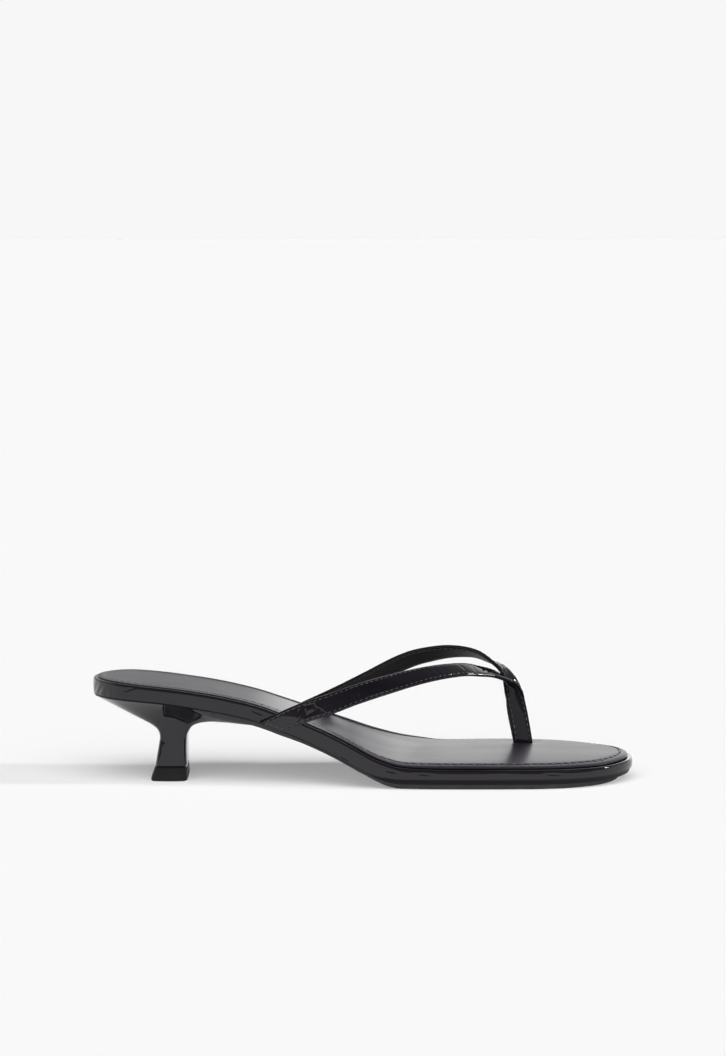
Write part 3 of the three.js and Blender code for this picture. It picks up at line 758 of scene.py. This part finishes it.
# %% Rubber finish
def rubber(name, level=0.022):
    finish = Finish(name)
    place = finish.place()
    dust = finish.noise(140, 4, place, 0.6)
    sanding = finish.noise(2200, 2, place)
    return finish.skin(
        Base_Color=finish.blend(dust, grey(level * 0.8), grey(level * 1.4, 0.02)),
        Roughness=0.62 + sanding * 0.2,
        Specular_IOR_Level=0.35,
        Normal=finish.bump(sanding, 0.00003),
    )


outsole_rubber = rubber("outsole")
print("rubber:", outsole_rubber.name)

# %% Outsole
BREAST = -HALF + 49
OUTSOLE_FRONT = HALF - 5.8
OUTSOLE_SETBACK = 3.0
BACK_CORNER = 9
OUTSOLE_CORNER = ((0.6, 0.0), (0.3, 0.08), (0.09, 0.27), (0.0, 0.6), (0.0, 1.0))


def outsole_edge(x, medial):
    sign = 1 if medial else -1
    start, power = INNER_TOE if medial else OUTER_TOE
    toe = start * LENGTH - HALF
    setback = OUTSOLE_SETBACK * layer["setback"](share(x))
    reach = np.abs(edge_y(np.minimum(x, toe), medial) - CENTRE_Y) - setback
    ahead = np.clip((x - toe) / (OUTSOLE_FRONT - toe), 0, 1)
    back = np.clip((x - BREAST) / BACK_CORNER, 0, 1)
    return CENTRE_Y + sign * reach * (1 - ahead ** power) ** (1 / power) * (1 - (1 - back) ** 3) ** (1 / 3)


def outsole_top(x, y):
    return midsole_under(x, y) - SEAM * 0.2


tread = outline(720, BREAST, OUTSOLE_FRONT, outsole_edge)
tread_loop = lifted(inset(tread, 4.0), outsole_under)
outsole_loops = closing(tread_loop, 6, outsole_under)[::-1] + [tread_loop]
for distance, raised in OUTSOLE_CORNER:
    outsole_loops.append(lifted(inset(tread, distance), lambda x, y: outsole_under(x, y) + raised))
outsole_loops.append(lifted(tread, outsole_top))
roof = lifted(inset(tread, 2.0), outsole_top)
outsole_loops += [roof] + closing(roof, 4, outsole_top)
finished("outsole_sheet", carry(outsole_loops), outsole_rubber, ["outsole"])

# %% [markdown]
# The heel is a moulded core covered with patent leather. Its stem is an oblong with tight
# corners that narrows from behind up to a neck and keeps nearly the same width across. Above
# the neck it flares out to the seat, with a tongue that runs forward under the waist. Each row
# of the flare tells how far a ring has come out, and how high it stands at the back, at the
# sides and at the front. A soft curve through the rings gives the rest.

# %% Heel
HEEL_X = -HALF + 33.6
TONGUE_X = -HALF + 83
TIP_LENGTH = 14.8
TIP_WIDTH = 28
TIP_HEIGHT = 6.0
NECK = 19.5
AROUND = 160
STEM = {
    "at": (0, 0.3, 0.6, 1),
    "back": (0.395, 0.355, 0.308, 0.252),
    "front": (0.564, 0.562, 0.56, 0.57),
    "half": (0.467, 0.46, 0.452, 0.44),
}
TIP = {
    "at": (0, 0.08, 1),
    "back": (0.512, 0.518, 0.412),
    "front": (0.568, 0.574, 0.566),
    "half": (0.494, 0.5, 0.484),
}
FLARE = [
    (0.030, 0.140, 0.230, 0.592),
    (0.090, 0.235, 0.360, 0.668),
    (0.160, 0.305, 0.460, 0.700),
    (0.290, 0.410, 0.590, 0.722),
    (0.460, 0.545, 0.720, 0.716),
    (0.680, 0.725, 0.850, 0.682),
    (0.870, 0.885, 0.945, 0.652),
]
CORNER_POWER = 0.24
SIDE_BOW = 0.06
HEEL_SETBACK = 1.0
TONGUE_POWER = 2.3
FOOT_CORNER = 0.25
heel_axis = np.array([HEEL_X, CENTRE_Y])
stem = {name: through(STEM["at"], STEM[name]) for name in ("back", "front", "half")}
tip = {name: through(TIP["at"], TIP[name]) for name in ("back", "front", "half")}
turns = np.arange(AROUND) / AROUND * 2 * math.pi
cosine = np.cos(turns)
sine = np.sin(turns)


def block_ring(sizes, at, z):
    """An oblong with tight corners and slightly bowed long sides."""
    reach = np.where(cosine > 0, TIP_LENGTH * sizes["back"](at), TIP_LENGTH * sizes["front"](at))
    place = -np.sign(cosine) * np.abs(cosine) ** CORNER_POWER
    half = TIP_WIDTH * sizes["half"](at) * (1 - SIDE_BOW * place ** 2)
    y = CENTRE_Y - np.sign(sine) * half * np.abs(sine) ** CORNER_POWER
    return np.column_stack([HEEL_X + place * reach, y, np.full(AROUND, z)])


def shrunk(ring, amount):
    """The ring drawn towards the middle of the heel by a share."""
    found = ring.copy()
    found[:, :2] += (heel_axis - found[:, :2]) * amount
    return found


def stem_ring(z):
    return block_ring(stem, (z - TIP_HEIGHT) / (NECK - TIP_HEIGHT), z)


def seat_height(x, y, start=-1.6, run=1.2):
    """The top of the heel, which drops by the outsole's thickness near the outsole's back edge."""
    t = np.clip((x - BREAST - start) / run, 0, 1)
    under = OUTSOLE_THICKNESS * layer["outsole"](last_share(x, y)) + SEAM
    return midsole_under(x, y) - SEAM - under * smooth_step(t)


def tongue_edge(x, medial):
    sign = 1 if medial else -1
    start = BREAST - 6
    reach = np.abs(edge_y(np.minimum(x, start), medial) - CENTRE_Y) - HEEL_SETBACK
    ahead = np.clip((x - start) / (TONGUE_X - start), 0, 1)
    return CENTRE_Y + sign * reach * (1 - ahead ** TONGUE_POWER) ** (1 / TONGUE_POWER)


def seat_ring():
    back = -HALF + HEEL_SETBACK
    reach = np.where(cosine > 0, HEEL_X - back, TONGUE_X - HEEL_X)
    x = HEEL_X - cosine * reach
    held = np.maximum(x, back)
    y = np.where(sine > 0, tongue_edge(held, False), tongue_edge(held, True))
    y[np.abs(sine) < 1e-9] = CENTRE_Y
    return np.column_stack([x, y, seat_height(x, y, 5, 14)])


heel_rings = [stem_ring(TIP_HEIGHT + t * (NECK - TIP_HEIGHT)) for t in (0, 0.3, 0.7, 1)]
neck = heel_rings[-1]
seat = seat_ring()
rise = midsole_under(seat[:, 0], seat[:, 1]) - SEAM - neck[:, 2]
for out, back, flank, front in FLARE:
    ring = neck + (seat - neck) * out
    side_z = neck[:, 2] + rise * flank
    end_z = np.where(cosine > 0, neck[:, 2] + rise * back, HEEL_HEIGHT * front)
    ring[:, 2] = np.minimum(side_z + (end_z - side_z) * cosine ** 2, seat_height(ring[:, 0], ring[:, 1]))
    heel_rings.append(ring)
heel_rings.append(seat)
heel_rings = np.array(heel_rings)
steps = np.arange(len(heel_rings))
fine = np.linspace(0, len(heel_rings) - 1, 60)
smooth_rings = np.empty((len(fine), AROUND, 3))
for i in range(AROUND):
    for axis in range(3):
        smooth_rings[:, i, axis] = through(steps, heel_rings[:, i, axis])(fine)
foot_loop = shrunk(smooth_rings[0], 0.012)
foot_in = shrunk(smooth_rings[0], 0.05)
foot_in[:, 2] = TIP_HEIGHT
smooth_rings[0][:, 2] += FOOT_CORNER
heel_loops = closing(foot_in, 3)[::-1] + [foot_in, foot_loop]
heel_loops += list(smooth_rings) + closing(smooth_rings[-1], 5, seat_height)
heel_patent = patent("heel_patent")
finished("heel_cover", carry(heel_loops), heel_patent, ["heel"])

# %% Top piece of the heel
TIP_TOP = TIP_HEIGHT - SEAM * 0.3
TIP_RINGS = (
    (0.0, 0.02), (0.012, 0.0), (0.08, 0.0), (0.3, 0.0), (0.6, 0.0), (0.96, 0.0), (1.0, 0.012), (1.0, 0.1),
)
tip_loops = [shrunk(block_ring(tip, at, TIP_TOP * at), amount) for at, amount in TIP_RINGS]
tip_loops = closing(tip_loops[0], 3)[::-1] + tip_loops + closing(tip_loops[-1], 3)
tip_rubber = rubber("heel_tip", 0.006)
finished("heel_top_piece", carry(tip_loops), tip_rubber, ["heel_tip"])

# %% [markdown]
# The straps are strips of patent leather folded over a thin core, so both long edges are round
# folds, with a lining on the foot side. Each follows a measured line from the band over the
# instep and down between the toes. A row of its table is a place, in shares of the length, of
# the foot's width and of the instep's height, then the turn of the face in degrees and a share
# of the strap's width. The loop carried along the line is a flat section with round ends.

# %% Lines of the straps
STRAP_WIDTH = 9.0
STRAP_THICKNESS = 1.5
INSTEP = 53
FOOT_WIDTH = 60
OUTER_STRAP = [
    (0.3011, -0.490, 0.438, 0, 0.82), (0.3312, -0.492, 0.502, 0, 0.90), (0.3668, -0.492, 0.574, 3, 1.00),
    (0.4033, -0.487, 0.639, 9, 1.00), (0.4397, -0.467, 0.686, 15, 1.00), (0.4762, -0.428, 0.744, 22, 1.00),
    (0.5127, -0.373, 0.790, 29, 1.00), (0.5495, -0.303, 0.829, 36, 1.00), (0.5911, -0.210, 0.868, 44, 1.00),
    (0.6247, -0.127, 0.889, 51, 1.00), (0.6585, -0.037, 0.899, 57, 1.00), (0.6926, 0.060, 0.896, 64, 1.00),
    (0.7156, 0.127, 0.873, 71, 0.98), (0.7386, 0.190, 0.848, 80, 0.96), (0.7569, 0.237, 0.813, 87, 0.94),
    (0.7701, 0.272, 0.777, 97, 0.93), (0.7817, 0.298, 0.736, 112, 0.92), (0.7867, 0.325, 0.678, 138, 0.92),
    (0.7869, 0.330, 0.600, 165, 0.96), (0.7897, 0.325, 0.488, 180, 0.96), (0.8018, 0.312, 0.229, 180, 0.96),
    (0.8045, 0.308, 0.143, 180, 0.96),
]
INNER_STRAP = [
    (0.3275, 0.450, 0.349, 0, 0.84), (0.3644, 0.460, 0.421, 0, 0.92), (0.3890, 0.467, 0.469, 3, 1.00),
    (0.4231, 0.487, 0.536, 7, 1.00), (0.4572, 0.493, 0.609, 11, 1.00), (0.4914, 0.492, 0.689, 15, 1.00),
    (0.5255, 0.483, 0.773, 20, 1.00), (0.5595, 0.472, 0.860, 25, 1.00), (0.5935, 0.457, 0.930, 30, 1.00),
    (0.6275, 0.438, 0.969, 38, 1.03), (0.6613, 0.417, 0.996, 47, 1.05), (0.6951, 0.388, 0.996, 58, 1.05),
    (0.7176, 0.367, 0.978, 68, 1.02), (0.7400, 0.340, 0.925, 80, 0.98), (0.7576, 0.317, 0.882, 98, 0.94),
    (0.7691, 0.303, 0.826, 114, 0.93), (0.7766, 0.297, 0.754, 138, 0.92), (0.7818, 0.306, 0.681, 160, 0.92),
    (0.7872, 0.305, 0.595, 176, 0.92), (0.7951, 0.297, 0.423, 180, 0.92), (0.8021, 0.287, 0.233, 180, 0.92),
    (0.8048, 0.283, 0.147, 180, 0.92),
]


def between(first, second, start, end, at):
    """The point at a place between two points."""
    return first + (second - first) * (at - start) / (end - start)


def rounded_line(points, steps):
    """Points along a smooth line through the given points, a number of steps for each gap."""
    points = np.asarray(points, float)
    points = np.vstack([2 * points[0] - points[1], points, 2 * points[-1] - points[-2]])
    found = []
    for i in range(1, len(points) - 2):
        four = points[i - 1:i + 3]
        knots = np.concatenate([[0], np.cumsum(np.linalg.norm(np.diff(four, axis=0), axis=1) ** 0.5)])
        count = steps + (i == len(points) - 3)
        for t in knots[1] + (knots[2] - knots[1]) * np.arange(count) / steps:
            a = [between(four[k], four[k + 1], knots[k], knots[k + 1], t) for k in range(3)]
            b = [between(a[k], a[k + 1], knots[k], knots[k + 2], t) for k in range(2)]
            found.append(between(b[0], b[1], knots[1], knots[2], t))
    return np.array(found)


def soften(values, reach):
    """A soft average along the first axis, with the ends held."""
    size = int(3 * reach)
    weights = np.exp(-0.5 * (np.arange(-size, size + 1) / reach) ** 2)
    weights /= weights.sum()
    flat = values.reshape(len(values), -1)
    start = 2 * flat[:1] - flat[size:0:-1]
    end = 2 * flat[-1:] - flat[-2:-size - 2:-1]
    long = np.vstack([start, flat, end])
    out = np.stack([np.convolve(long[:, k], weights, mode="valid") for k in range(flat.shape[1])], 1)
    return out.reshape(values.shape)


class Strap:
    """Centre, face direction, upward direction and width at many places along a strap."""

    def __init__(self, rows, outward, steps=12):
        rows = np.array(rows, float)
        places = np.column_stack([rows[:, 0] * LENGTH - HALF, rows[:, 1] * FOOT_WIDTH, rows[:, 2] * INSTEP])
        self.centre = soften(rounded_line(places, steps), 4)
        count = len(self.centre)
        at = np.linspace(0, len(rows) - 1, count)
        order = np.arange(len(rows))
        turn = np.radians(soften(through(order, rows[:, 3])(at), 5))
        self.width = STRAP_WIDTH * soften(through(order, rows[:, 4])(at), 5)
        tangent = np.gradient(self.centre, axis=0)
        tangent /= np.linalg.norm(tangent, axis=1)[:, None]
        sideways = np.array([0, 1, 0]) - tangent * tangent[:, 1:2]
        sideways /= np.linalg.norm(sideways, axis=1)[:, None]
        upward = np.cross(tangent, sideways)
        c = np.cos(turn)[:, None]
        s = np.sin(turn)[:, None]
        self.tangent = tangent
        self.face = sideways * outward * c + upward * s
        self.inner = upward * c - sideways * outward * s
        run = np.linalg.norm(np.diff(self.centre, axis=0), axis=1)
        self.run = np.concatenate([[0], np.cumsum(run)])

    def read(self, at, values):
        """Places or directions at lengths along the strap."""
        return np.stack([np.interp(at, self.run, values[:, k]) for k in range(3)], -1)

    def wide(self, at):
        return np.interp(at, self.run, self.width)

    def point(self, at, a, b):
        """The place at a length along the strap, a across it and b out from its middle, in mm."""
        a = np.asarray(a)[..., None]
        b = np.asarray(b)[..., None]
        return self.read(at, self.centre) + self.read(at, self.inner) * a + self.read(at, self.face) * b


near = Strap(OUTER_STRAP, -1)
far = Strap(INNER_STRAP, 1)
print("lengths of the straps, mm:", round(float(near.run[-1])), round(float(far.run[-1])))

# %% Straps
FOLD = 0.075
SEAM_FROM_EDGE = 1.15


def fold_section(crown=0.10, groove=0.06):
    """Places across and out for a flat strap with round folds, as shares of its sizes."""
    flat = 0.5 - FOLD
    seam_at = 0.5 - SEAM_FROM_EDGE / STRAP_WIDTH
    found = []
    for a in np.linspace(-flat, flat, 39):
        dip = groove * math.exp(-((abs(a) - seam_at) / 0.03) ** 2)
        found.append((a, 0.5 + crown * (1 - (a / 0.5) ** 2) - dip))
    for turn in np.linspace(75, -75, 7):
        found.append((flat + FOLD * math.cos(math.radians(turn)), 0.5 * math.sin(math.radians(turn))))
    for a in np.linspace(flat, -flat, 15):
        found.append((a, -0.5))
    for turn in np.linspace(-75, 75, 7):
        found.append((-flat - FOLD * math.cos(math.radians(turn)), 0.5 * math.sin(math.radians(turn))))
    return found


def lining_section(count=13):
    """A thin strip that covers the raw edges on the foot side."""
    wide = 0.5 - 1.0 / STRAP_WIDTH
    below = [(a, -0.52) for a in np.linspace(-wide, wide, count)]
    above = [(a, -0.66 + 0.05 * abs(a / wide) ** 6) for a in np.linspace(wide, -wide, count)]
    return below + above


def tuck_length(strap, a, b):
    """The length along the strap at which this line of it comes out from under the band."""
    at = np.linspace(-4, 0.4 * strap.run[-1], 900)
    inside = np.clip(at, 0, None)
    places = strap.point(inside, a * strap.wide(inside), b * STRAP_THICKNESS)
    places += (at - inside)[:, None] * strap.tangent[0]
    gap = places[:, 2] - band_low(places[:, 0], places[:, 1]) - 0.25
    return at[np.argmax(gap > 0)]


def strap_loops(strap, section, ends, dents=()):
    """Sections of a strap from its slanting lower end to its end in the insole.

    The dents lie along and across the strap and press its outer face alone.
    """
    starts = np.array([tuck_length(strap, a, b) for a, b in section])
    across_strap = np.array([a for a, b in section])
    depth = np.array([b for a, b in section]) * STRAP_THICKNESS
    loops = []
    for t in np.linspace(0, 1, ends) ** 1.15:
        at = starts + (strap.run[-1] - starts) * t
        inside = np.clip(at, 0, None)
        aside = across_strap * strap.wide(inside)
        pressed = depth - troughs(at, aside, dents) * (depth > 0)
        places = strap.point(inside, aside, pressed)
        loops.append(places + (at - inside)[:, None] * strap.tangent[0])
    return loops


def capped(loops):
    """The loops with both ends closed towards their middles."""
    first = [loops[0] + (loops[0].mean(0) - loops[0]) * t for t in (1.0, 0.12)]
    last = [loops[-1] + (loops[-1].mean(0) - loops[-1]) * t for t in (0.12, 1.0)]
    return first + loops + last


NEAR_DENTS = [
    (24.6, 0.2, 78, 2.4, 0.50, 0.44), (27.0, -1.1, 15, 1.8, 0.45, 0.42), (29.4, 0.5, 104, 2.2, 0.50, 0.46),
    (27.2, 2.3, -6, 2.0, 0.45, 0.38), (27.0, 0.5, 30, 1.0, 0.80, -0.46), (22.0, 1.2, 60, 1.8, 0.45, 0.24),
    (31.6, -1.6, 125, 2.2, 0.50, 0.26), (34.4, 1.2, 56, 1.4, 0.60, 0.10), (20.0, -2.4, 40, 1.6, 0.40, 0.18),
    (39.0, 1.8, 64, 1.6, 0.70, 0.07), (46.0, -1.2, 110, 2.0, 0.80, 0.05), (50.0, 0.4, 84, 3.0, 0.80, 0.07),
    (62.0, 0.0, 98, 3.0, 0.90, 0.06), (78.0, 0.5, 82, 2.6, 0.80, 0.06), (86.0, -0.4, 97, 2.6, 0.70, 0.08),
    (89.5, 0.2, 105, 2.4, 0.60, 0.10), (93.0, 0.0, 76, 2.4, 0.60, 0.09), (96.0, -3.5, 6, 2.0, 0.40, 0.30),
    (101.0, -3.4, -8, 1.6, 0.40, 0.26), (104.0, 0.3, 100, 2.2, 0.50, 0.10),
    (110.0, -0.5, 92, 2.4, 0.50, 0.10), (116.0, 0.6, 60, 2.6, 0.45, 0.30),
    (118.6, -0.4, 48, 2.6, 0.45, 0.26), (121.0, 0.8, 35, 2.0, 0.40, 0.20),
    (128.0, 0.0, 80, 2.4, 0.50, 0.12), (133.0, 0.5, 98, 2.4, 0.50, 0.12),
]
FAR_DENTS = [
    (14.0, 0.4, 80, 2.4, 0.60, 0.20), (18.0, -0.6, 100, 2.2, 0.55, 0.24), (46.0, 0.0, 88, 3.0, 0.90, 0.08),
    (70.0, 0.2, 96, 3.0, 0.90, 0.07), (82.0, 3.2, 8, 3.0, 0.50, 0.16), (96.0, 0.0, 80, 2.6, 0.60, 0.09),
    (104.0, -0.3, 98, 2.4, 0.50, 0.16), (110.0, 0.4, 70, 2.6, 0.45, 0.28),
    (113.5, -0.6, 62, 2.6, 0.45, 0.30), (116.5, -0.9, 50, 2.2, 0.40, 0.24),
]
STRAP_STEPS = 480
POST_FROM = 0.053
# From POST_FROM on, the straps' lacquer is weaker: painted shade on the toe post.
strap_patent = patent("strap_patent", wave=0.000008, dimmed_reflection_from=POST_FROM)
section = fold_section()
for name, strap, dents in (("near_strap", near, NEAR_DENTS), ("far_strap", far, FAR_DENTS)):
    loops = capped(strap_loops(strap, section, STRAP_STEPS, dents))
    finished(name, carry(loops), strap_patent, ["upper"])

# %% Lining of the straps
LINING_STEPS = 200


def lining(name):
    finish = Finish(name)
    place = finish.place()
    nap = finish.noise(1500, 3, place, 0.65)
    rub = finish.noise(70, 3, place)
    return finish.skin(
        Base_Color=finish.blend(nap, grey(0.004), grey(0.016, 0.02)),
        Roughness=0.50 + nap * 0.14 - rub * 0.06,
        Specular_IOR_Level=0.40,
        Normal=finish.bump(nap, 0.00004),
    )


strap_lining = lining("strap_lining")
for name, strap in (("near_lining", near), ("far_lining", far)):
    loops = capped(strap_loops(strap, lining_section(), LINING_STEPS))
    finished(name, carry(loops), strap_lining)

# %% [markdown]
# The stitches are real thread, one small bead for each, sunk into the leather at both ends. A
# thread that crosses a groove catches the light, and a painted line never does that. Each size
# is the length, width and height of a bead, in millimetres.

# %% Thread and stitches
INSOLE_BEAD = (2.6, 0.70, 0.72)
STRAP_BEAD = (1.8, 0.36, 0.32)
END_BEAD = (1.7, 0.38, 0.34)
INSOLE_PITCH = 3.5
STRAP_PITCH = 2.5
END_PITCH = 2.3
BEAD_SLANT = 0.10


def thread(name, level, shine):
    finish = Finish(name)
    sockets = {"Vector": finish.place(), "Scale": 900.0}
    twist = finish.node("TexWave", {"bands_direction": "DIAGONAL"}, sockets)
    return finish.skin(
        Base_Color=finish.blend(twist, grey(level), grey(level * 4)),
        Roughness=0.28 + twist * 0.1,
        Coat_Weight=shine,
        Coat_Roughness=0.12,
        Normal=finish.bump(twist, 0.00003),
    )


def stitch_row(name, places, ups, size, pitch, cord):
    """A row of beads along a line of places, each turned along the line."""
    length, width, height = size
    gaps = np.linalg.norm(np.diff(places, axis=0), axis=1)
    run = np.concatenate([[0], np.cumsum(gaps)])
    ups = ups[:len(places)]
    count = max(2, round(run[-1] / pitch))
    at = (np.arange(count) + 0.5) * run[-1] / count
    made = bmesh.new()
    for one in at:
        here, ahead, up = [
            Vector([np.interp(one + shift, run, values[:, k]) for k in range(3)])
            for shift, values in ((0, places), (0.3, places), (0, ups))
        ]
        along = (ahead - here).normalized()
        up = (up - along * up.dot(along)).normalized()
        sideways = up.cross(along)
        along = (along + sideways * BEAD_SLANT).normalized()
        sideways = up.cross(along)
        turn = Matrix((along * length / 2, sideways * width / 2, up * height / 2)).transposed()
        spot = Matrix.Translation(here * MM) @ (turn * MM).to_4x4()
        bmesh.ops.create_uvsphere(made, u_segments=6, v_segments=6, radius=1, matrix=spot)
    finished(name, made, cord)


black_thread = thread("black_thread", 0.014, 1.0)
# A darker, duller copy of the same thread for the far half of the insole seam: painted shade.
shaded_far_thread = thread("shaded_far_thread", 0.002, 0.1)
seam_loop = inset(rim, INSOLE_SETBACK + STITCH_INSET)
seam_loop = np.vstack([seam_loop, seam_loop[:1]])
seam_rise = np.where(across(seam_loop[:, 0], seam_loop[:, 1]) > 0.5, 0.08, 0.26)
seam_height = pad_top(seam_loop[:, 0], seam_loop[:, 1], STITCH_INSET) + seam_rise
seam_places = np.column_stack([seam_loop, seam_height])
seam_ups = np.tile([0.0, 0.0, 1.0], (len(seam_places), 1))
front_point = len(seam_places) // 2
for name, places, cord in (
    ("insole_stitches", seam_places[:front_point + 1], black_thread),
    ("insole_inner_stitches", seam_places[front_point:], shaded_far_thread),
):
    stitch_row(name, places, seam_ups, INSOLE_BEAD, INSOLE_PITCH, cord)


def strap_stitches(name, strap, edge, start, end, face=1):
    """A row along one edge of a strap, on its outer face or, with face -1, on its lining side."""
    at = np.linspace(start, end, 400)
    half = strap.wide(at) / 2
    out = STRAP_THICKNESS * (0.5 + (0.0 if face > 0 else 0.02)) + 0.05
    places = strap.point(at, edge * (half - SEAM_FROM_EDGE), np.full(len(at), face * out))
    faces = face * strap.read(at, strap.face)
    stitch_row(name, places, faces, STRAP_BEAD, STRAP_PITCH, black_thread)


for name, strap in (("near", near), ("far", far)):
    for edge, word in ((1, "upper"), (-1, "lower")):
        first = tuck_length(strap, edge * 0.37, 0.5) + 2
        strap_stitches(f"{name}_{word}_stitches", strap, edge, first, strap.run[-1] - 6)
        strap_stitches(f"{name}_{word}_lining_stitches", strap, edge, 24, strap.run[-1] - 6, -1)
    aside = np.linspace(0.40, -0.40, 60)
    at = np.array([tuck_length(strap, a, 0.5) for a in aside]) + 1.5
    places = strap.point(at, aside * strap.wide(at), np.full(len(at), STRAP_THICKNESS * 0.5 + 0.07))
    faces = strap.read(at, strap.face)
    stitch_row(f"{name}_end_stitches", places, faces, END_BEAD, END_PITCH, black_thread)
